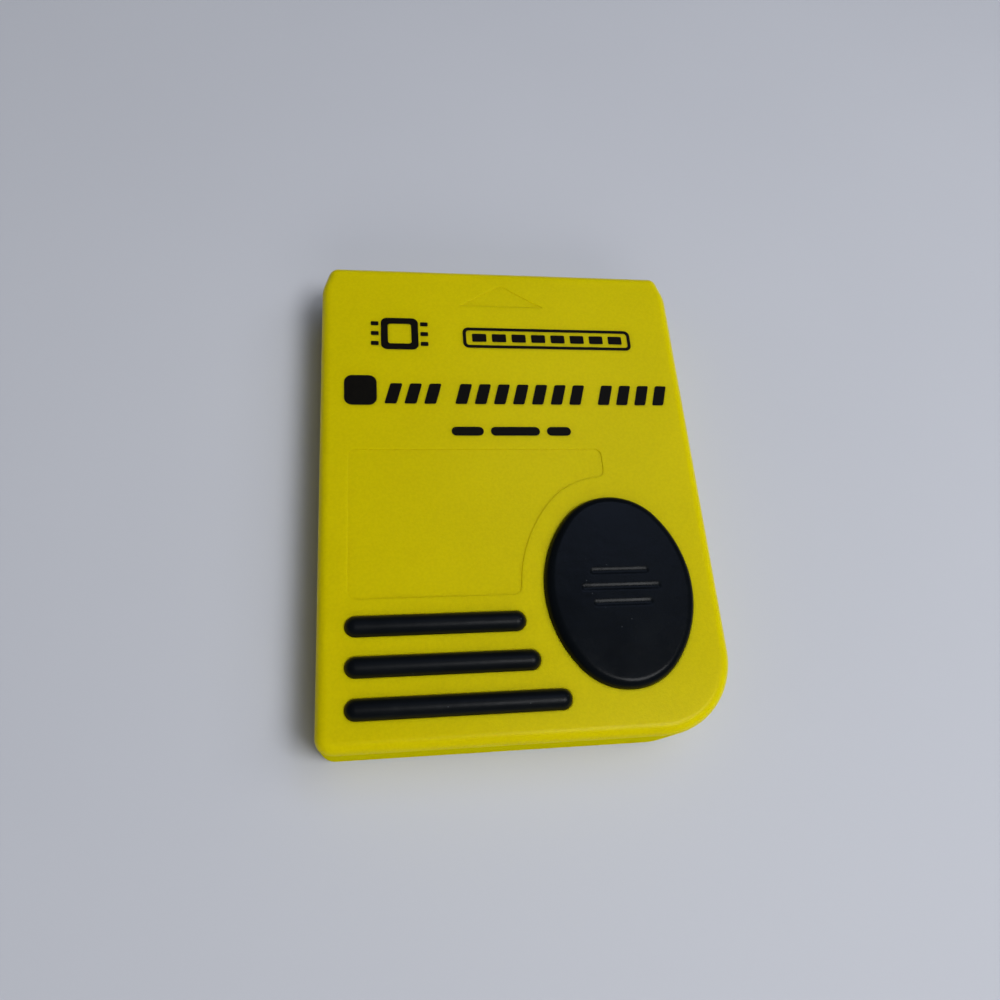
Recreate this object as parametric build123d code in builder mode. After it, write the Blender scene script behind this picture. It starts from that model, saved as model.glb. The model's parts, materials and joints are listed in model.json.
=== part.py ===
from build123d import *
from math import sqrt
import os

# Console memory card, in millimetres. The origin is at the centre of the underside,
# +Y points to the insertion end (the nose) and +Z out of the label face.

# Plan of the case
card_width = 42.3
card_length = 55.8
nose_taper_width = 1.0
nose_taper_length = 3.1
nose_blend_radius = 4.0
tail_left_radius = 1.7
tail_right_radius = 8.2

# Section of the case
side_wall = 1.4
floor_wall = 1.4
roof_wall = 1.6
top_edge_round = 1.2
under_edge_bevel = 0.5
seam_bevel = 0.2
lip_thickness = 0.6
lip_height = 0.8
lip_clearance = 0.1
back_recess_margin = 4.0
back_recess_depth = 0.2
back_recess_corner = 1.5

# Stack inside the case, from the underside up
bay_height = 2.6
contact_thickness = 0.25
board_thickness = 1.0
board_to_parting = 0.15
component_headroom = 2.55

# Contact bay in the nose
bay_side_land = 4.05
bay_depth = 9.0
bay_wall = 1.2
bay_end_margin = 1.0
contact_groups = (3, 3, 2)
contact_gap = 1.8
contact_length = 7.0
contact_inset = 0.3
contact_bevel = 0.12
divider_thickness = 1.4
divider_clearance = 0.7
divider_setback = 0.5
divider_recess = 0.4
chin_clearance = 0.1

# Ribs that hold the board and keys that locate it
board_gap = 0.2
rib_length = 4.0
rib_width = 1.2
rib_spacing = 20.0
rib_tail_gap = 2.0
key_reach = 1.2
key_width = 2.4
key_tail_gap = 22.0
key_clearance = 0.15

# Grips on the label face
grip_clearance = 0.05
oval_width = 16.0
oval_length = 20.75
oval_side_margin = 3.15
oval_tail_margin = 4.6
oval_sink = 0.8
oval_height = 1.0
oval_edge_round = 0.95
oval_end_fullness = 0.745
halo_side_gap = 2.4
halo_end_gap = 2.9
halo_drop = 0.3
bar_width = 2.1
bar_pitch = 4.0
bar_side_margin = 2.75
bar_tail_margin = 4.0
bar_sink = 0.2
bar_halo_gap = 0.05

# Recesses in the label face
label_side_margin = 3.05
label_bar_gap = 1.7
label_tab = 3.45
label_depth = 0.11
label_corner = 0.8
arrow_width = 10.2
arrow_length = 3.1
arrow_margin = 2.25
arrow_depth = 0.08

# Parts on the board, placed back from the front edge of the board
lead_thickness = 0.15
chip_standoff = 0.1
chip_bevel = 0.12
memory_length = 18.4
memory_width = 10.2
memory_height = 1.0
memory_nose_gap = 32.15
memory_lead_count = 14
memory_lead_pitch = 1.27
memory_lead_width = 0.4
memory_lead_reach = 0.8
controller_side = 7.0
controller_height = 1.4
controller_nose_gap = 14.15
controller_offset = -4.0
controller_lead_count = 8
controller_lead_pitch = 0.8
controller_lead_width = 0.35
controller_lead_reach = 1.0
regulator_length = 2.9
regulator_width = 1.3
regulator_height = 1.0
regulator_nose_gap = 17.65
regulator_offset = 8.5
regulator_lead_pitch = 1.9
regulator_lead_width = 0.4
regulator_lead_reach = 0.55
resonator_length = 4.5
resonator_width = 2.0
resonator_base = 0.5
resonator_cap = 0.7
resonator_step = 0.2
resonator_nose_gap = 11.65
resonator_offset = 7.5
capacitor_length = 2.0
capacitor_width = 1.25
capacitor_height = 0.85
capacitor_nose_gap = 22.95
capacitor_pitch = 4.6
capacitor_count = 4
resistor_length = 1.6
resistor_width = 0.8
resistor_height = 0.45
resistor_nose_gap = 6.15
chip_terminal = 0.35
chip_terminal_step = 0.04

# Worked out from the values above
half_width = card_width / 2
half_length = card_length / 2
nose_corner_radius = top_edge_round

board_underside = bay_height + contact_thickness
board_top = board_underside + board_thickness
parting_height = board_top + board_to_parting
roof_underside = board_top + component_headroom
card_thickness = roof_underside + roof_wall
rebate_top = parting_height + lip_height + lip_clearance
board_front = half_length - side_wall - board_gap

contact_count = sum(contact_groups)
divider_count = len(contact_groups) - 1
divider_gap = divider_thickness + 2 * divider_clearance
bay_width = card_width - 2 * bay_side_land
bay_rear = half_length - bay_depth
inner_gaps = (contact_count - 1 - divider_count) * contact_gap + divider_count * divider_gap
contact_width = (bay_width - 2 * bay_end_margin - inner_gaps) / contact_count

rib_tail_y = -half_length + side_wall + rib_tail_gap + rib_width / 2
rib_nose_y = bay_rear - bay_wall / 2
key_x = half_width - side_wall
key_y = -half_length + side_wall + key_tail_gap

oval_x = half_width - oval_side_margin - oval_width / 2
oval_y = -half_length + oval_tail_margin + oval_length / 2
halo_y = oval_y - halo_drop
halo_x_radius = oval_width / 2 + halo_side_gap
halo_y_radius = oval_length / 2 + halo_end_gap
bar_left = -half_width + bar_side_margin
bar_rows = [-half_length + bar_tail_margin + row * bar_pitch for row in range(3)]

label_left = -half_width + label_side_margin
label_right = oval_x
label_bottom = bar_rows[-1] + bar_width / 2 + label_bar_gap
label_top = halo_y + halo_y_radius + label_tab


def contact_columns():
    """X of each contact blade and of each divider between the groups, from left to right."""
    contacts = []
    dividers = []
    edge = -bay_width / 2 + bay_end_margin
    for group, size in enumerate(contact_groups):
        for _ in range(size):
            contacts.append(edge + contact_width / 2)
            edge += contact_width + contact_gap
        if group < divider_count:
            edge += divider_gap - contact_gap
            dividers.append(edge - divider_gap / 2)
    return contacts, dividers


def tangent_oval(width, length):
    """Upright oval drawn with two end arcs and two side arcs that run smoothly into each other."""
    across = width / 2
    along = length / 2
    end_radius = across * (1 - oval_end_fullness * (1 - across / along))
    end_centre = along - end_radius
    side_radius = (across**2 + end_centre**2 - end_radius**2) / (2 * (across - end_radius))
    joint_share = end_radius / (side_radius - end_radius)
    joint_x = joint_share * (side_radius - across)
    joint_y = (1 + joint_share) * end_centre
    with BuildSketch() as oval:
        with BuildLine():
            ThreePointArc((-joint_x, joint_y), (0, along), (joint_x, joint_y))
            ThreePointArc((joint_x, joint_y), (across, 0), (joint_x, -joint_y))
            ThreePointArc((joint_x, -joint_y), (0, -along), (-joint_x, -joint_y))
            ThreePointArc((-joint_x, -joint_y), (-across, 0), (-joint_x, joint_y))
        make_face()
    return oval.sketch


def halo_edge(y):
    """X of the left side of the plain halo that is kept round the oval, at this Y."""
    across = max(0.0, 1 - ((y - halo_y) / halo_y_radius) ** 2)
    return oval_x - halo_x_radius * sqrt(across)


def bar_span(y):
    """Centre and length of a grip bar, which stops at the oval's halo."""
    right = halo_edge(y) - bar_halo_gap
    return (bar_left + right) / 2, right - bar_left


def gull_wing_row(places, width, body_half, reach, shoulder):
    """Leads at these X places that leave a body's +Y side and stand on Z = 0."""
    heel = body_half + reach / 2
    toe = body_half + reach
    with BuildPart() as lead:
        with BuildSketch(Plane.YZ):
            with BuildLine():
                Polyline(
                    (body_half, shoulder + lead_thickness),
                    (heel + lead_thickness, lead_thickness),
                    (toe, lead_thickness),
                    (toe, 0),
                    (heel, 0),
                    (body_half, shoulder),
                    close=True,
                )
            make_face()
        extrude(amount=width / 2, both=True)
    with BuildPart() as row:
        with Locations(*[(x, 0, 0) for x in places]):
            add(lead.part)
    return row.part


def centred_places(count, pitch):
    """Evenly spaced places about zero."""
    return [(index - (count - 1) / 2) * pitch for index in range(count)]


def chip_body(length, width, height):
    """Moulded chip package with bevelled top edges, standing on Z = 0."""
    with BuildPart() as body:
        with BuildSketch():
            Rectangle(length, width)
        extrude(amount=height)
        chamfer(body.faces().sort_by(Axis.Z)[-1].edges(), chip_bevel)
    return body.part


def chip_part(length, width, height):
    """Two-terminal chip part along X, its end terminals a little higher than its body."""
    with BuildPart() as chip:
        with BuildSketch(Plane.XZ):
            Rectangle(length, height, align=(Align.CENTER, Align.MIN))
            with Locations((0, height)):
                Rectangle(length - 2 * chip_terminal, 2 * chip_terminal_step, mode=Mode.SUBTRACT)
        extrude(amount=width / 2, both=True)
    return chip.part


contact_places, divider_places = contact_columns()

# Plan outlines that the shells and the board share
with BuildSketch() as outline:
    with BuildLine():
        Polyline(
            (-half_width, -half_length),
            (half_width, -half_length),
            (half_width, half_length - nose_taper_length),
            (half_width - nose_taper_width, half_length),
            (-half_width + nose_taper_width, half_length),
            (-half_width, half_length - nose_taper_length),
            close=True,
        )
    make_face()
    nose_corners = outline.vertices().group_by(Axis.Y)[-1]
    fillet(nose_corners, nose_corner_radius)
    taper_starts = [
        outline.vertices().sort_by_distance((side * half_width, half_length - nose_taper_length))[0]
        for side in (-1, 1)
    ]
    fillet(taper_starts, nose_blend_radius)
    fillet(outline.vertices().sort_by_distance((-half_width, -half_length))[0], tail_left_radius)
    fillet(outline.vertices().sort_by_distance((half_width, -half_length))[0], tail_right_radius)

with BuildSketch() as cavity_outline:
    add(outline.sketch)
    offset(amount=-side_wall)

with BuildSketch() as lip_outline:
    add(outline.sketch)
    offset(amount=-(side_wall - lip_thickness))

with BuildSketch() as rebate_outline:
    add(outline.sketch)
    offset(amount=-(side_wall - lip_thickness - lip_clearance))

with BuildSketch() as board_outline:
    add(outline.sketch)
    offset(amount=-(side_wall + board_gap))

with BuildSketch() as back_recess_outline:
    add(outline.sketch)
    offset(amount=-back_recess_margin)
    with Locations((0, bay_rear - back_recess_margin)):
        Rectangle(card_width, card_length, align=(Align.CENTER, Align.MAX), mode=Mode.INTERSECT)
    fillet(back_recess_outline.vertices().group_by(Axis.Y)[-1], back_recess_corner)

# Upper half of the case
with BuildPart() as top_shell:
    with BuildSketch(Plane.XY.offset(parting_height)):
        add(outline.sketch)
    extrude(amount=card_thickness - parting_height)
    chamfer(top_shell.faces().sort_by(Axis.Z)[0].edges(), seam_bevel)
    fillet(top_shell.faces().sort_by(Axis.Z)[-1].edges(), top_edge_round)

    # Hollow and the rebate that takes the lower half's lip
    with BuildSketch(Plane.XY.offset(parting_height)):
        add(cavity_outline.sketch)
    extrude(amount=roof_underside - parting_height, mode=Mode.SUBTRACT)
    with BuildSketch(Plane.XY.offset(parting_height)):
        add(rebate_outline.sketch)
    extrude(amount=rebate_top - parting_height, mode=Mode.SUBTRACT)

    # Chin that closes the front of the case above the contact bay
    with BuildSketch(Plane.XY.offset(board_underside)):
        with Locations((0, half_length)):
            Rectangle(bay_width - 2 * chin_clearance, side_wall, align=(Align.CENTER, Align.MAX))
    extrude(amount=rebate_top - board_underside)

    # Ribs that press on the board, over the lower half's bay wall and its ribs at the tail
    with BuildSketch(Plane.XY.offset(board_top)):
        with Locations((0, rib_tail_y), (0, rib_nose_y)):
            with GridLocations(rib_spacing, 0, 2, 1):
                Rectangle(rib_length, rib_width)
    extrude(amount=roof_underside - board_top)

    # Pockets for the grips
    with BuildSketch(Plane.XY.offset(card_thickness)):
        with Locations((oval_x, oval_y)):
            add(tangent_oval(oval_width + 2 * grip_clearance, oval_length + 2 * grip_clearance))
    extrude(amount=-oval_sink, mode=Mode.SUBTRACT)
    with BuildSketch(Plane.XY.offset(card_thickness)):
        for bar_y in bar_rows:
            bar_x, bar_length = bar_span(bar_y)
            with Locations((bar_x, bar_y)):
                SlotOverall(bar_length + 2 * grip_clearance, bar_width + 2 * grip_clearance)
    extrude(amount=-bar_sink, mode=Mode.SUBTRACT)

    # Label field, cut back along the oval's halo
    with BuildSketch(Plane.XY.offset(card_thickness)) as label_field:
        with Locations(((label_left + label_right) / 2, (label_bottom + label_top) / 2)):
            Rectangle(label_right - label_left, label_top - label_bottom)
        with Locations((oval_x, halo_y)):
            add(tangent_oval(2 * halo_x_radius, 2 * halo_y_radius), mode=Mode.SUBTRACT)
        fillet(label_field.vertices(), label_corner)
    extrude(amount=-label_depth, mode=Mode.SUBTRACT)

    # Insertion arrow
    with BuildSketch(Plane.XY.offset(card_thickness)):
        with BuildLine(Plane.XY):
            arrow_tip = half_length - arrow_margin
            Polyline(
                (0, arrow_tip),
                (-arrow_width / 2, arrow_tip - arrow_length),
                (arrow_width / 2, arrow_tip - arrow_length),
                close=True,
            )
        make_face()
    extrude(amount=-arrow_depth, mode=Mode.SUBTRACT)

top_shell.part.label = "top_shell"

# Lower half of the case
with BuildPart() as bottom_shell:
    with BuildSketch():
        add(outline.sketch)
    extrude(amount=parting_height)
    chamfer(bottom_shell.faces().sort_by(Axis.Z)[0].edges(), under_edge_bevel)
    with BuildSketch(Plane.XY.offset(floor_wall)):
        add(cavity_outline.sketch)
    extrude(amount=parting_height - floor_wall, mode=Mode.SUBTRACT)

    # Lip that stands up inside the upper half
    with BuildSketch(Plane.XY.offset(parting_height)):
        add(lip_outline.sketch)
        add(cavity_outline.sketch, mode=Mode.SUBTRACT)
    extrude(amount=lip_height)

    # Walls round the contact bay, then the bay itself, open to the front and below
    with BuildSketch(Plane.XY.offset(floor_wall)):
        with Locations((0, half_length - side_wall)):
            Rectangle(
                bay_width + 2 * bay_wall,
                bay_depth - side_wall + bay_wall,
                align=(Align.CENTER, Align.MAX),
            )
    extrude(amount=board_underside - floor_wall)
    with BuildSketch():
        with Locations((0, bay_rear)):
            Rectangle(bay_width, 2 * bay_depth, align=(Align.CENTER, Align.MIN))
    extrude(amount=parting_height + lip_height, mode=Mode.SUBTRACT)

    # Dividers between the contact groups
    with BuildSketch(Plane.XY.offset(divider_recess)):
        with Locations(*[(x, bay_rear) for x in divider_places]):
            Rectangle(
                divider_thickness,
                bay_depth - divider_setback,
                align=(Align.CENTER, Align.MIN),
            )
    extrude(amount=board_underside - divider_recess)

    # Ribs under the tail of the board
    with BuildSketch(Plane.XY.offset(floor_wall)):
        with Locations((0, rib_tail_y)):
            with GridLocations(rib_spacing, 0, 2, 1):
                Rectangle(rib_length, rib_width)
    extrude(amount=board_underside - floor_wall)

    # Keys on both side walls, which stand in notches of the board
    with BuildSketch(Plane.XY.offset(floor_wall)):
        with Locations((0, key_y)):
            Rectangle(2 * key_x, key_width)
            Rectangle(2 * (key_x - key_reach), key_width, mode=Mode.SUBTRACT)
    extrude(amount=parting_height - floor_wall)

    # Shallow field on the underside
    with BuildSketch():
        add(back_recess_outline.sketch)
    extrude(amount=back_recess_depth, mode=Mode.SUBTRACT)

bottom_shell.part.label = "bottom_shell"

# Rubber grips, each seated in its pocket
with BuildPart() as oval_grip:
    with BuildSketch(Plane.XY.offset(card_thickness - oval_sink)):
        with Locations((oval_x, oval_y)):
            add(tangent_oval(oval_width, oval_length))
    extrude(amount=oval_sink + oval_height)
    fillet(oval_grip.faces().sort_by(Axis.Z)[-1].edges(), oval_edge_round)

oval_grip.part.label = "oval_grip"

# Half-round bars with domed ends
bar_floor = card_thickness - bar_sink
grip_bars = []
for bar_name, bar_y in zip(("lower", "middle", "upper"), bar_rows):
    bar_x, bar_length = bar_span(bar_y)
    with BuildPart() as grip_bar:
        with BuildSketch(Plane.XY.offset(bar_floor)):
            with Locations((bar_x, bar_y)):
                SlotOverall(bar_length, bar_width)
                Rectangle(
                    bar_length,
                    bar_width,
                    align=(Align.CENTER, Align.MIN),
                    mode=Mode.INTERSECT,
                )
        revolve(axis=Axis((bar_x, bar_y, bar_floor), (1, 0, 0)), revolution_arc=180)
    grip_bar.part.label = f"{bar_name}_grip_bar"
    grip_bars.append(grip_bar.part)

# Circuit board, clamped between the ribs of both halves and notched for the keys
with BuildPart() as circuit_board:
    with BuildSketch(Plane.XY.offset(board_underside)):
        add(board_outline.sketch)
        with Locations((-key_x, key_y), (key_x, key_y)):
            Rectangle(
                2 * (key_reach + key_clearance),
                key_width + 2 * key_clearance,
                mode=Mode.SUBTRACT,
            )
    extrude(amount=board_thickness)

circuit_board.part.label = "circuit_board"

# Contact blades under the front of the board, bevelled where the console's springs ride up
contacts = []
for number, contact_x in enumerate(contact_places, start=1):
    with BuildPart() as contact:
        with BuildSketch(Plane.XY.offset(board_underside)):
            with Locations((contact_x, board_front - contact_inset - contact_length / 2)):
                Rectangle(contact_width, contact_length)
        extrude(amount=-contact_thickness)
        lower_face = contact.faces().sort_by(Axis.Z)[0]
        chamfer(lower_face.edges().sort_by(Axis.Y)[-1], contact_bevel)
    contact.part.label = f"contact_{number}"
    contacts.append(contact.part)

# Memory chip, with leads along both long sides
memory_y = board_front - memory_nose_gap
memory_body = chip_body(memory_length, memory_width, memory_height)
memory_row = gull_wing_row(
    centred_places(memory_lead_count, memory_lead_pitch),
    memory_lead_width,
    memory_width / 2,
    memory_lead_reach,
    chip_standoff + memory_height / 2,
)

with BuildPart() as memory_chip:
    with Locations((0, memory_y, board_top + chip_standoff)):
        add(memory_body)

memory_chip.part.label = "memory_chip"

with BuildPart() as memory_chip_pins:
    with Locations((0, memory_y, board_top)):
        with PolarLocations(0, 2):
            add(memory_row)

memory_chip_pins.part.label = "memory_chip_pins"

# Controller chip, with leads on all four sides
controller_place = (controller_offset, board_front - controller_nose_gap)
controller_body = chip_body(controller_side, controller_side, controller_height)
controller_row = gull_wing_row(
    centred_places(controller_lead_count, controller_lead_pitch),
    controller_lead_width,
    controller_side / 2,
    controller_lead_reach,
    chip_standoff + controller_height / 2,
)

with BuildPart() as controller_chip:
    with Locations((*controller_place, board_top + chip_standoff)):
        add(controller_body)

controller_chip.part.label = "controller_chip"

with BuildPart() as controller_chip_pins:
    with Locations((*controller_place, board_top)):
        with PolarLocations(0, 4):
            add(controller_row)

controller_chip_pins.part.label = "controller_chip_pins"

# Voltage regulator, with two leads on one side and one on the other
regulator_place = (regulator_offset, board_front - regulator_nose_gap)
regulator_shoulder = chip_standoff + regulator_height / 2
regulator_body = chip_body(regulator_length, regulator_width, regulator_height)
regulator_rows = [
    gull_wing_row(
        centred_places(count, regulator_lead_pitch),
        regulator_lead_width,
        regulator_width / 2,
        regulator_lead_reach,
        regulator_shoulder,
    )
    for count in (2, 1)
]

with BuildPart() as voltage_regulator:
    with Locations((*regulator_place, board_top + chip_standoff)):
        add(regulator_body)

voltage_regulator.part.label = "voltage_regulator"

with BuildPart() as voltage_regulator_pins:
    with Locations((*regulator_place, board_top)):
        add(regulator_rows[0])
        add(regulator_rows[1], rotation=(0, 0, 180))

voltage_regulator_pins.part.label = "voltage_regulator_pins"

# Ceramic resonator: a base with a stepped cap
with BuildPart() as clock_resonator:
    resonator_place = (resonator_offset, board_front - resonator_nose_gap)
    with BuildSketch(Plane.XY.offset(board_top)):
        with Locations(resonator_place):
            Rectangle(resonator_length, resonator_width)
    extrude(amount=resonator_base)
    with BuildSketch(Plane.XY.offset(board_top + resonator_base)):
        with Locations(resonator_place):
            Rectangle(resonator_length - 2 * resonator_step, resonator_width - 2 * resonator_step)
    extrude(amount=resonator_cap)

clock_resonator.part.label = "clock_resonator"

# Chip capacitors in a row between the two chips
capacitor_y = board_front - capacitor_nose_gap
capacitor_body = chip_part(capacitor_length, capacitor_width, capacitor_height)
with BuildPart() as capacitors:
    with Locations(*[(x, capacitor_y, board_top) for x in centred_places(capacitor_count, capacitor_pitch)]):
        add(capacitor_body)

capacitors.part.label = "capacitors"

# Chip resistors, one in line with each contact
resistor_y = board_front - resistor_nose_gap
resistor_body = chip_part(resistor_length, resistor_width, resistor_height)
with BuildPart() as resistors:
    with Locations(*[(x, resistor_y, board_top) for x in contact_places]):
        add(resistor_body)

resistors.part.label = "resistors"

pieces = [
    top_shell.part,
    bottom_shell.part,
    oval_grip.part,
    *grip_bars,
    circuit_board.part,
    *contacts,
    memory_chip.part,
    memory_chip_pins.part,
    controller_chip.part,
    controller_chip_pins.part,
    voltage_regulator.part,
    voltage_regulator_pins.part,
    clock_resonator.part,
    capacitors.part,
    resistors.part,
]

os.makedirs("parts", exist_ok=True)
for piece in pieces:
    export_step(piece, f"parts/{piece.label}.step")
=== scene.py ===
"""Console memory card: finishes, print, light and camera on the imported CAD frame, in metres."""
import json
import math

import bpy
from mathutils import Matrix, Vector


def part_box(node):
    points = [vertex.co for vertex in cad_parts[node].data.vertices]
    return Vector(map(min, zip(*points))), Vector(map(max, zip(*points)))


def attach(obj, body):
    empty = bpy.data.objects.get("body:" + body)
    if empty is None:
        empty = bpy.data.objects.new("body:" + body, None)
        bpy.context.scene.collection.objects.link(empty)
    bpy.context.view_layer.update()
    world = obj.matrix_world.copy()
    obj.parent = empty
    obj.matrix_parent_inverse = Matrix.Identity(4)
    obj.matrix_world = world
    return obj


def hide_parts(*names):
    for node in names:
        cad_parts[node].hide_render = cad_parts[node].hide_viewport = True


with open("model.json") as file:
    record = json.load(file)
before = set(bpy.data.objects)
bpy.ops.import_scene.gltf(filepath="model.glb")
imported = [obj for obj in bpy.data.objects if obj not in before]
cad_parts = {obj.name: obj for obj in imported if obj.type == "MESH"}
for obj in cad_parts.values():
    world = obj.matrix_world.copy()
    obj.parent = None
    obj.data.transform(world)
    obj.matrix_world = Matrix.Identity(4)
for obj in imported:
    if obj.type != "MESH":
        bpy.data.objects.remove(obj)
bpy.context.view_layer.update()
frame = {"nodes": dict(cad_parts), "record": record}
nodes = frame["nodes"]

MM = 0.001

# Label face, and the nose end that the print is set out from
FACE_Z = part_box("top_shell")[1].z
NOSE_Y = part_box("top_shell")[1].y
INK_THICKNESS = 0.015 * MM
INK_SINK = 0.005 * MM

# Oval grip, drawn as in the part's source
OVAL_LOW, OVAL_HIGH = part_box("oval_grip")
OVAL_END_FULLNESS = 0.745
OVAL_EDGE_ROUND = 0.95 * MM
OVAL_SPOKES = 240
OVAL_TOP_RINGS = 90
OVAL_EDGE_RINGS = 14

# Thumb grooves across the oval grip
GROOVE_LENGTHS = (6.2 * MM, 8.4 * MM, 6.2 * MM)
GROOVE_WIDTH = 0.5 * MM
GROOVE_PITCH = 1.7 * MM
GROOVE_SOFTNESS = 0.35 * MM
GROOVE_DEPTH = 0.07 * MM

# Printed chip: a frame with pins. Print is placed across from the middle and back from the nose
CHIP_X = -12.25 * MM
CHIP_BACK = 9.5 * MM
CHIP_SIZE = 4.3 * MM
CHIP_ROUND = 0.7 * MM
CHIP_WINDOW = 2.7 * MM
CHIP_WINDOW_ROUND = 0.3 * MM
PIN_LENGTH = 0.9 * MM
PIN_WIDTH = 0.55 * MM
PIN_ROUND = 0.12 * MM
PIN_REACH = 2.85 * MM
PIN_PITCH = 1.35 * MM

# Printed gauge: a long frame with a row of blocks
GAUGE_X = 5.3 * MM
GAUGE_BACK = 9.85 * MM
GAUGE_LENGTH = 20.4 * MM
GAUGE_WIDTH = 2.8 * MM
GAUGE_ROUND = 0.7 * MM
GAUGE_LINE = 0.4 * MM
GAUGE_WINDOW_ROUND = 0.35 * MM
BLOCK_COUNT = 8
BLOCK_PITCH = 2.36 * MM
BLOCK_LENGTH = 1.7 * MM
BLOCK_WIDTH = 1.1 * MM
BLOCK_ROUND = 0.15 * MM

# Printed patch, and groups of leaning stripes beside it: the first stripe's place and their number
PATCH_X = -16.75 * MM
PATCH_BACK = 17.05 * MM
PATCH_WIDTH = 3.6 * MM
PATCH_HEIGHT = 3.8 * MM
PATCH_ROUND = 0.9 * MM
STRIPE_GROUPS = ((-13.1 * MM, 3), (-5.2 * MM, 7), (11.4 * MM, 4))
STRIPE_BACK = 17.45 * MM
STRIPE_PITCH = 2.2 * MM
STRIPE_WIDTH = 1.35 * MM
STRIPE_HEIGHT = 2.6 * MM
STRIPE_ROUND = 0.2 * MM
STRIPE_SLANT = 0.28

# Printed pills: each one's place and length
PILLS = ((-5.0 * MM, 3.6 * MM), (0.4 * MM, 5.6 * MM), (5.4 * MM, 2.8 * MM))
PILL_BACK = 22.2 * MM
PILL_WIDTH = 1.1 * MM
PILL_ROUND = 0.54 * MM

# Steps round each rounded corner of the print
CORNER_STEPS = 6

# Room
FLOOR_REACH = 1.5
ROOM_COLOUR = (0.9, 0.95, 1.0, 1)
ROOM_STRENGTH = 0.06

# Camera
CAMERA_PLACE = Vector((-15.08, -34.13, 84.31)) * MM
CAMERA_FORWARD = Vector((0.1569, 0.3768, -0.9129))
CAMERA_UP = Vector((0.0118, 0.9236, 0.3833))
CAMERA_LENS = 27.9
CAMERA_SENSOR = 36.0
CAMERA_CLIP = 1 * MM


class Shader:
    """A material's node tree, with short ways to add its nodes."""

    def __init__(self, name):
        self.material = bpy.data.materials.new(name)
        self.material.use_nodes = True
        self.tree = self.material.node_tree
        self.surface = self.tree.nodes["Principled BSDF"]
        self.place = self.tree.nodes.new("ShaderNodeTexCoord").outputs["Object"]

    def set(self, **sockets):
        """Sets the surface's own sockets, with spaces in their names written as underscores."""
        for name, value in sockets.items():
            self.surface.inputs[name.replace("_", " ")].default_value = value

    def join(self, output, name):
        """Links an output to one of the surface's own sockets."""
        self.tree.links.new(output, self.surface.inputs[name])

    def add(self, kind, inputs=None, **settings):
        """A new node of this kind, with its inputs linked or set."""
        node = self.tree.nodes.new("ShaderNode" + kind)
        for name, value in settings.items():
            setattr(node, name, value)
        for name, value in (inputs or {}).items():
            if isinstance(value, bpy.types.NodeSocket):
                self.tree.links.new(value, node.inputs[name])
            else:
                node.inputs[name].default_value = value
        return node

    def math(self, operation, first, second):
        return self.add("Math", {0: first, 1: second}, operation=operation).outputs[0]

    def stretched(self, scale):
        """The place on the object, scaled along its own axes."""
        return self.add("Mapping", {"Vector": self.place, "Scale": scale}).outputs[0]

    def noise(self, size, detail=2.0, place=None):
        """Soft noise from 0 to 1 with features of about this size."""
        inputs = {"Vector": place or self.place, "Scale": 1 / size, "Detail": detail}
        return self.add("TexNoise", inputs).outputs["Fac"]

    def specks(self, spacing, radius):
        """1 on scattered round specks and 0 between them."""
        cells = self.add("TexVoronoi", {"Vector": self.place, "Scale": 1 / spacing})
        return self.span(cells.outputs["Distance"], radius / spacing, 0.4 * radius / spacing)

    def span(self, value, low, high, to_low=0.0, to_high=1.0):
        """The value mapped smoothly from low..high to to_low..to_high, and held outside it."""
        inputs = {0: value, 1: low, 2: high, 3: to_low, 4: to_high}
        return self.add("MapRange", inputs, interpolation_type="SMOOTHSTEP").outputs[0]

    def blend(self, factor, first, second):
        """A colour between two colours."""
        node = self.add("Mix", {0: factor, 6: first, 7: second}, data_type="RGBA")
        return node.outputs[2]

    def bump(self, height, depth, under=None):
        """Normals that rise and fall with the height, on top of those under them."""
        inputs = {"Height": height, "Distance": depth, "Strength": 1.0}
        if under is not None:
            inputs["Normal"] = under
        return self.add("Bump", inputs).outputs[0]

    def soft_edges(self, radius):
        """Normals that round off the solid's sharp edges by this radius."""
        return self.add("Bevel", {"Radius": radius}, samples=6).outputs[0]


def yellow_plastic():
    """Moulded case plastic: strong yellow with a fine grain, matt on its walls, and light spreads in it."""
    shader = Shader("yellow_plastic")
    shader.set(Specular_Tint=(1.0, 0.95, 0.45, 1))
    shader.set(Subsurface_Weight=0.9, Subsurface_Scale=1.8 * MM, Subsurface_Radius=(1.0, 1.0, 0.05))
    facing = shader.add("NewGeometry").outputs["True Normal"]
    upward = shader.add("SeparateXYZ", {0: facing}).outputs["Z"]
    shader.join(shader.span(upward, 0.1, 0.7, 0.0, 0.12), "Specular IOR Level")
    cloud = shader.noise(11 * MM, detail=3)
    grain = shader.noise(0.16 * MM, detail=1)
    waves = shader.noise(5 * MM, detail=1)
    mottle = shader.noise(0.3 * MM, detail=2)
    broad = shader.span(cloud, 0.3, 0.7, 0.2, 0.5)
    fine = shader.span(mottle, 0.3, 0.7, 0.0, 0.5)
    tone = shader.math("ADD", broad, fine)
    colour = shader.blend(tone, (0.545, 0.463, 0.0006, 1), (0.615, 0.518, 0.0009, 1))
    dust = shader.math("MULTIPLY", shader.specks(3.1 * MM, 0.05 * MM), 0.35)
    shader.join(shader.blend(dust, colour, (0.2, 0.18, 0.06, 1)), "Base Color")
    shader.join(shader.span(grain, 0.25, 0.75, 0.27, 0.36), "Roughness")
    rounded = shader.soft_edges(0.08 * MM)
    wavy = shader.bump(waves, 0.02 * MM, rounded)
    shader.join(shader.bump(grain, 0.015 * MM, wavy), "Normal")
    return shader.material


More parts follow.
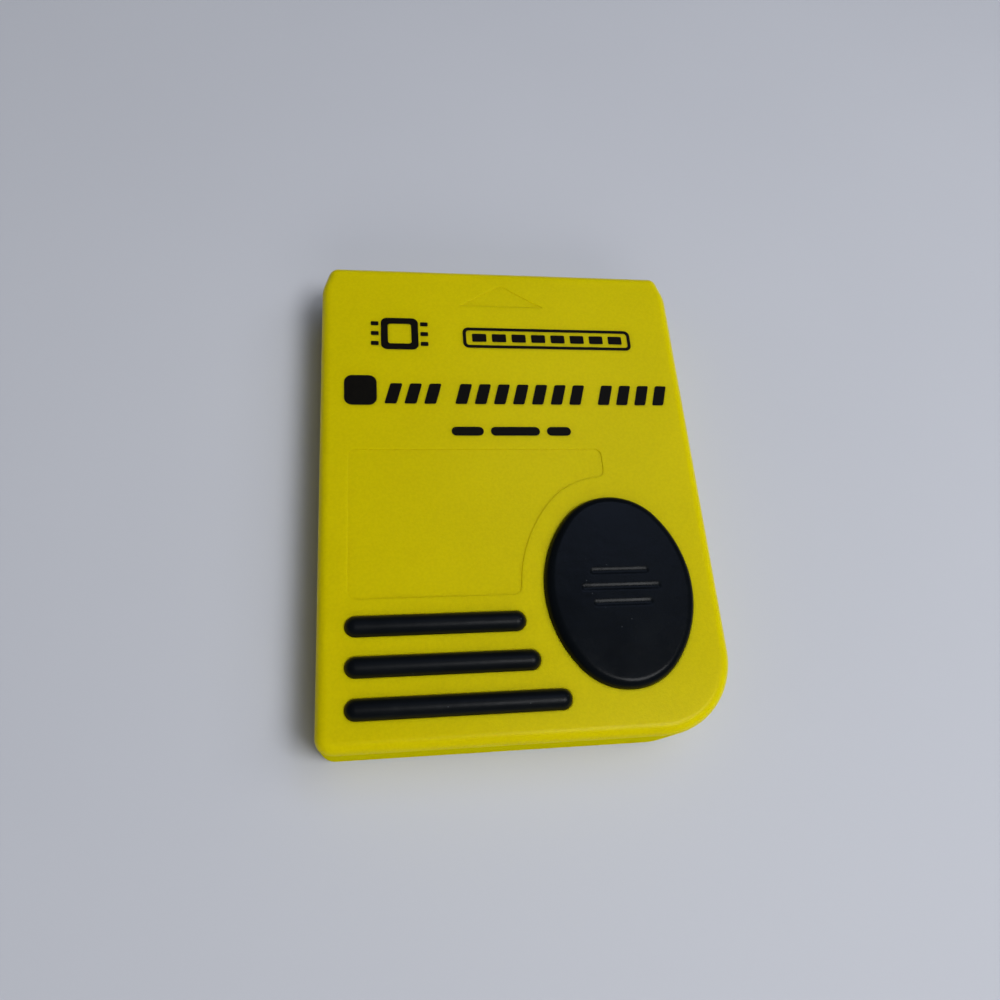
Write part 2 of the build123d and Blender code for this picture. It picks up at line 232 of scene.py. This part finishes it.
def black_rubber(name, gloss, rough):
    """Black rubber with specks of lint and a slight blue cast."""
    shader = Shader(name)
    shader.set(Specular_IOR_Level=gloss)
    cloud = shader.noise(4 * MM, detail=3)
    grain = shader.noise(0.12 * MM, detail=2)
    base = shader.blend(cloud, (0.002, 0.0026, 0.0035, 1), (0.0034, 0.0048, 0.0064, 1))
    lint = shader.specks(1.3 * MM, 0.075 * MM)
    shader.join(shader.blend(lint, base, (0.05, 0.055, 0.059, 1)), "Base Color")
    shader.join(shader.span(cloud, 0.3, 0.7, rough - 0.03, rough + 0.03), "Roughness")
    skin = shader.bump(shader.noise(1.6 * MM, detail=2), 0.03 * MM)
    shader.join(shader.bump(grain, 0.004 * MM, skin), "Normal")
    return shader.material


def black_ink():
    """Pad-printed ink with a slightly uneven film."""
    shader = Shader("black_ink")
    shader.set(Specular_IOR_Level=0.08)
    film = shader.noise(0.5 * MM, detail=3)
    shader.join(shader.blend(film, (0.0022, 0.0018, 0.0012, 1), (0.0055, 0.0045, 0.0028, 1)), "Base Color")
    shader.join(shader.span(film, 0.3, 0.7, 0.42, 0.55), "Roughness")
    shader.join(shader.bump(film, 0.004 * MM), "Normal")
    return shader.material


def laminate():
    """Board with a green mask over copper runs."""
    shader = Shader("board_laminate")
    shader.set(Roughness=0.38)
    weave = shader.noise(0.6 * MM, detail=2)
    inputs = {"Vector": shader.place, "Scale": 1 / (1.4 * MM), "Mortar Size": 0.16, "Row Height": 0.9}
    runs = shader.add("TexBrick", inputs).outputs["Fac"]
    mask = shader.blend(weave, (0.008, 0.07, 0.02, 1), (0.012, 0.1, 0.03, 1))
    shader.join(shader.blend(runs, mask, (0.02, 0.16, 0.045, 1)), "Base Color")
    shader.join(shader.bump(runs, 0.02 * MM), "Normal")
    return shader.material


def gold_plate():
    """Plated contacts with rubbed streaks along the way they slide."""
    shader = Shader("contact_gold")
    shader.set(Metallic=1.0)
    rub = shader.noise(1.0, detail=3, place=shader.stretched((5200, 240, 900)))
    shader.join(shader.blend(rub, (0.62, 0.4, 0.1, 1), (0.86, 0.62, 0.22, 1)), "Base Color")
    shader.join(shader.span(rub, 0.3, 0.7, 0.2, 0.36), "Roughness")
    shader.join(shader.bump(rub, 0.004 * MM, shader.soft_edges(0.06 * MM)), "Normal")
    return shader.material


def plain_part(name, dark, light, rough, grain_size, metallic=0.0):
    """A small part's finish: two close tones in a fine grain, with its edges eased."""
    shader = Shader(name)
    shader.set(Metallic=metallic)
    grain = shader.noise(grain_size, detail=3)
    shader.join(shader.blend(grain, (*dark, 1), (*light, 1)), "Base Color")
    shader.join(shader.span(grain, 0.3, 0.7, rough - 0.06, rough + 0.06), "Roughness")
    shader.join(shader.bump(grain, 0.006 * MM, shader.soft_edges(0.04 * MM)), "Normal")
    return shader.material


def pale_floor():
    """Smooth pale table top, slightly cool."""
    shader = Shader("pale_floor")
    shader.set(Specular_IOR_Level=0.2)
    cloud = shader.noise(40 * MM, detail=3)
    shader.join(shader.blend(cloud, (0.523, 0.533, 0.574, 1), (0.543, 0.553, 0.594, 1)), "Base Color")
    shader.join(shader.span(cloud, 0.3, 0.7, 0.6, 0.7), "Roughness")
    shader.join(shader.bump(shader.noise(1.2 * MM), 0.01 * MM), "Normal")
    return shader.material


def rounded_box(x, y, width, height, radius, slant=0.0):
    """Outline of a rounded, optionally leaning box about (x, y), as points in metres."""
    points = []
    for corner in range(4):
        turn = corner * math.pi / 2
        across = (width / 2 - radius) * (1 if corner in (0, 3) else -1)
        up = (height / 2 - radius) * (1 if corner in (0, 1) else -1)
        for step in range(CORNER_STEPS + 1):
            angle = turn + step / CORNER_STEPS * math.pi / 2
            px = across + radius * math.cos(angle)
            py = up + radius * math.sin(angle)
            points.append((x + px + slant * py, y + py))
    return points


def printed(name, outlines, ink):
    """A thin film of ink on the label face. An outline inside another one is left open."""
    drawing = bpy.data.curves.new(name, "CURVE")
    drawing.dimensions = "2D"
    drawing.fill_mode = "BOTH"
    drawing.extrude = (INK_THICKNESS + INK_SINK) / 2
    for outline in outlines:
        spline = drawing.splines.new("POLY")
        spline.points.add(len(outline) - 1)
        for point, (x, y) in zip(spline.points, outline):
            point.co = (x, y, 0, 1)
        spline.use_cyclic_u = True
    holder = bpy.data.objects.new(name, drawing)
    bpy.context.scene.collection.objects.link(holder)
    bpy.context.view_layer.update()
    mesh = bpy.data.meshes.new_from_object(holder.evaluated_get(bpy.context.evaluated_depsgraph_get()))
    bpy.data.objects.remove(holder)
    mesh.transform(Matrix.Translation((0, 0, FACE_Z + (INK_THICKNESS - INK_SINK) / 2)))
    add_piece(name, mesh, ink)


def add_piece(name, mesh, material):
    """A piece of the card in the given material, which rides on the root."""
    mesh.materials.clear()
    mesh.materials.append(material)
    piece = bpy.data.objects.new(name, mesh)
    bpy.context.scene.collection.objects.link(piece)
    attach(piece, "root")
    return piece


def print_chip(ink):
    chip_y = NOSE_Y - CHIP_BACK
    outlines = [
        rounded_box(CHIP_X, chip_y, CHIP_SIZE, CHIP_SIZE, CHIP_ROUND),
        rounded_box(CHIP_X, chip_y, CHIP_WINDOW, CHIP_WINDOW, CHIP_WINDOW_ROUND),
    ]
    for side in (-1, 1):
        for row in (-1, 0, 1):
            pin_x = CHIP_X + side * PIN_REACH
            pin_y = chip_y + row * PIN_PITCH
            outlines.append(rounded_box(pin_x, pin_y, PIN_LENGTH, PIN_WIDTH, PIN_ROUND))
    printed("printed_pictogram", outlines, ink)


def print_gauge(ink):
    gauge_y = NOSE_Y - GAUGE_BACK
    window_length = GAUGE_LENGTH - 2 * GAUGE_LINE
    window_width = GAUGE_WIDTH - 2 * GAUGE_LINE
    outlines = [
        rounded_box(GAUGE_X, gauge_y, GAUGE_LENGTH, GAUGE_WIDTH, GAUGE_ROUND),
        rounded_box(GAUGE_X, gauge_y, window_length, window_width, GAUGE_WINDOW_ROUND),
    ]
    for block in range(BLOCK_COUNT):
        block_x = GAUGE_X + (block - (BLOCK_COUNT - 1) / 2) * BLOCK_PITCH
        outlines.append(rounded_box(block_x, gauge_y, BLOCK_LENGTH, BLOCK_WIDTH, BLOCK_ROUND))
    printed("printed_gauge", outlines, ink)


def print_stripes(ink):
    outlines = [rounded_box(PATCH_X, NOSE_Y - PATCH_BACK, PATCH_WIDTH, PATCH_HEIGHT, PATCH_ROUND)]
    stripe_y = NOSE_Y - STRIPE_BACK
    for first_x, count in STRIPE_GROUPS:
        for stripe in range(count):
            stripe_x = first_x + stripe * STRIPE_PITCH
            shape = (STRIPE_WIDTH, STRIPE_HEIGHT, STRIPE_ROUND, STRIPE_SLANT)
            outlines.append(rounded_box(stripe_x, stripe_y, *shape))
    printed("printed_stripes", outlines, ink)


def print_pills(ink):
    pill_y = NOSE_Y - PILL_BACK
    outlines = [rounded_box(x, pill_y, length, PILL_WIDTH, PILL_ROUND) for x, length in PILLS]
    printed("printed_pills", outlines, ink)


def print_label(ink):
    """Plain printed shapes on the label face."""
    print_chip(ink)
    print_gauge(ink)
    print_stripes(ink)
    print_pills(ink)


def oval_outline(inset):
    """Points round the oval grip's plan outline, moved in by this much."""
    across = (OVAL_HIGH.x - OVAL_LOW.x) / 2
    along = (OVAL_HIGH.y - OVAL_LOW.y) / 2
    end_radius = across * (1 - OVAL_END_FULLNESS * (1 - across / along))
    end_centre = along - end_radius
    side_radius = (across**2 + end_centre**2 - end_radius**2) / (2 * (across - end_radius))
    side_centre = side_radius - across
    joint = math.atan2(end_centre, side_centre)
    points = []
    for spoke in range(OVAL_SPOKES):
        angle = 2 * math.pi * spoke / OVAL_SPOKES
        c, s = math.cos(angle), math.sin(angle)
        if abs(s) < math.sin(joint):
            x = (side_radius - inset) * c - math.copysign(side_centre, c)
            y = (side_radius - inset) * s
        else:
            x = (end_radius - inset) * c
            y = (end_radius - inset) * s + math.copysign(end_centre, s)
        points.append((x, y))
    return points


def ease(value):
    """The value held to 0..1, with a smooth start and end."""
    value = min(1.0, max(0.0, value))
    return value * value * (3 - 2 * value)


def groove_depth(x, y):
    """How deep the thumb grooves go at this place on the oval's top."""
    deepest = 0.0
    for row, length in enumerate(GROOVE_LENGTHS):
        middle = (row - (len(GROOVE_LENGTHS) - 1) / 2) * GROOVE_PITCH
        past_end = max(0.0, abs(x) - (length - GROOVE_WIDTH) / 2)
        inside = GROOVE_WIDTH / 2 - math.hypot(past_end, y - middle)
        deepest = max(deepest, GROOVE_DEPTH * ease(inside / GROOVE_SOFTNESS + 0.5))
    return deepest


def oval_grip(rubber):
    """The oval grip with its round shoulder and the thumb grooves sunk into its top."""
    centre = (OVAL_LOW + OVAL_HIGH) / 2
    top = OVAL_HIGH.z
    rings = []
    flat = oval_outline(OVAL_EDGE_ROUND)
    for ring in range(1, OVAL_TOP_RINGS + 1):
        share = ring / OVAL_TOP_RINGS
        places = [(x * share, y * share) for x, y in flat]
        rings.append([(x, y, top - groove_depth(x, y)) for x, y in places])
    for ring in range(1, OVAL_EDGE_RINGS + 1):
        angle = ring / OVAL_EDGE_RINGS * math.pi / 2
        edge = oval_outline(OVAL_EDGE_ROUND * (1 - math.sin(angle)))
        height = top - OVAL_EDGE_ROUND * (1 - math.cos(angle))
        rings.append([(x, y, height) for x, y in edge])
    rings.append([(x, y, OVAL_LOW.z) for x, y in oval_outline(0)])

    vertices = [(0, 0, top - groove_depth(0, 0))]
    for ring in rings:
        vertices.extend(ring)
    faces = []
    for spoke in range(OVAL_SPOKES):
        faces.append((0, 1 + spoke, 1 + (spoke + 1) % OVAL_SPOKES))
    for ring in range(len(rings) - 1):
        inner = 1 + ring * OVAL_SPOKES
        outer = inner + OVAL_SPOKES
        for spoke in range(OVAL_SPOKES):
            after = (spoke + 1) % OVAL_SPOKES
            faces.append((inner + spoke, outer + spoke, outer + after, inner + after))
    last = 1 + (len(rings) - 1) * OVAL_SPOKES
    faces.append(tuple(last + spoke for spoke in reversed(range(OVAL_SPOKES))))

    mesh = bpy.data.meshes.new("oval_grip_moulded")
    mesh.from_pydata(vertices, [], faces)
    mesh.transform(Matrix.Translation((centre.x, centre.y, 0)))
    mesh.shade_smooth()
    mesh.polygons[len(mesh.polygons) - 1].use_smooth = False
    piece = add_piece("oval_grip_moulded", mesh, rubber)
    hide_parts("oval_grip")


def dress_nodes():
    """Gives every CAD node its finish."""
    resin = plain_part("chip_resin", (0.012, 0.012, 0.013), (0.02, 0.02, 0.022), 0.5, 0.15 * MM)
    tin = plain_part("tinned_lead", (0.55, 0.55, 0.56), (0.75, 0.75, 0.76), 0.3, 0.1 * MM, 1.0)
    tan = plain_part("capacitor_ceramic", (0.3, 0.2, 0.11), (0.38, 0.27, 0.16), 0.4, 0.2 * MM)
    grey = plain_part("resistor_ceramic", (0.03, 0.03, 0.034), (0.06, 0.06, 0.066), 0.4, 0.2 * MM)
    cream = plain_part("resonator_ceramic", (0.5, 0.44, 0.32), (0.6, 0.54, 0.42), 0.45, 0.2 * MM)
    finishes = {
        "yellow_case": yellow_plastic(),
        "black_rubber": black_rubber("bar_rubber", 0.12, 0.38),
        "board_laminate": laminate(),
        "contact_gold": gold_plate(),
        "chip_resin": resin,
        "tinned_lead": tin,
        "capacitor_ceramic": tan,
        "resistor_ceramic": grey,
        "resonator_ceramic": cream,
    }
    for part in frame["record"]["subparts"]:
        for material_slot in nodes[part["node"]].material_slots:
            material_slot.material = finishes[part["material_slot"]]


def add_floor():
    mesh = bpy.data.meshes.new("floor")
    corners = [(x * FLOOR_REACH, y * FLOOR_REACH, 0) for x, y in ((-1, -1), (1, -1), (1, 1), (-1, 1))]
    mesh.from_pydata(corners, [], [(0, 1, 2, 3)])
    mesh.materials.append(pale_floor())
    floor = bpy.data.objects.new("floor", mesh)
    bpy.context.scene.collection.objects.link(floor)


def add_panel(name, direction, distance, width, height, power, colour, mirrored=True):
    """A soft light panel that faces the card from this direction, seen in gloss or not."""
    lamp = bpy.data.lights.new(name, "AREA")
    lamp.shape = "RECTANGLE"
    lamp.size = width
    lamp.size_y = height
    lamp.energy = power
    lamp.color = colour
    panel = bpy.data.objects.new(name, lamp)
    aim = Vector(direction).normalized()
    panel.location = aim * distance
    panel.rotation_euler = aim.to_track_quat("Z", "Y").to_euler()
    panel.visible_glossy = mirrored
    bpy.context.scene.collection.objects.link(panel)


def add_light():
    """A key from the upper right, an even fill about it and a dim room."""
    cool = (0.97, 0.985, 1.0)
    daylight = (0.97, 0.98, 1.0)
    warm = (1.0, 0.99, 0.97)
    lamp_white = (1.0, 0.95, 0.9)
    sky_blue = (0.5, 0.62, 1.0)
    add_panel("key", (0.38, -0.27, 0.9), distance=0.45, width=0.17, height=0.16, power=1.2, colour=cool)
    add_panel("overhead", (0.5, 0.05, 0.86), distance=0.8, width=0.35, height=0.8,
              power=1.85, colour=daylight, mirrored=False)
    add_panel("front_window", (0.15, -0.85, 0.45), distance=0.8, width=0.6, height=0.3,
              power=1.2, colour=warm, mirrored=False)
    add_panel("left_window", (-0.98, -0.1, 0.16), distance=0.8, width=0.5, height=0.12,
              power=0.7, colour=lamp_white, mirrored=False)
    add_panel("ceiling", (0.29, 0.4, 0.87), distance=0.8, width=0.3, height=0.2,
              power=0.5, colour=sky_blue)
    world = bpy.data.worlds.new("room")
    world.use_nodes = True
    background = world.node_tree.nodes["Background"].inputs
    background["Color"].default_value = ROOM_COLOUR
    background["Strength"].default_value = ROOM_STRENGTH
    bpy.context.scene.world = world


def add_camera():
    camera = bpy.data.cameras.new("camera")
    camera.sensor_width = CAMERA_SENSOR
    camera.lens = CAMERA_LENS
    camera.clip_start = CAMERA_CLIP
    holder = bpy.data.objects.new("camera", camera)
    bpy.context.scene.collection.objects.link(holder)
    forward = CAMERA_FORWARD.normalized()
    right = forward.cross(CAMERA_UP).normalized()
    turn = Matrix((right, right.cross(forward), -forward)).transposed()
    holder.matrix_world = Matrix.Translation(CAMERA_PLACE) @ turn.to_4x4()
    bpy.context.scene.camera = holder


dress_nodes()
oval_grip(black_rubber("pad_rubber", 0.07, 0.26))
print_label(black_ink())
add_floor()
add_light()
add_camera()
bpy.context.scene.view_settings.view_transform = "Standard"
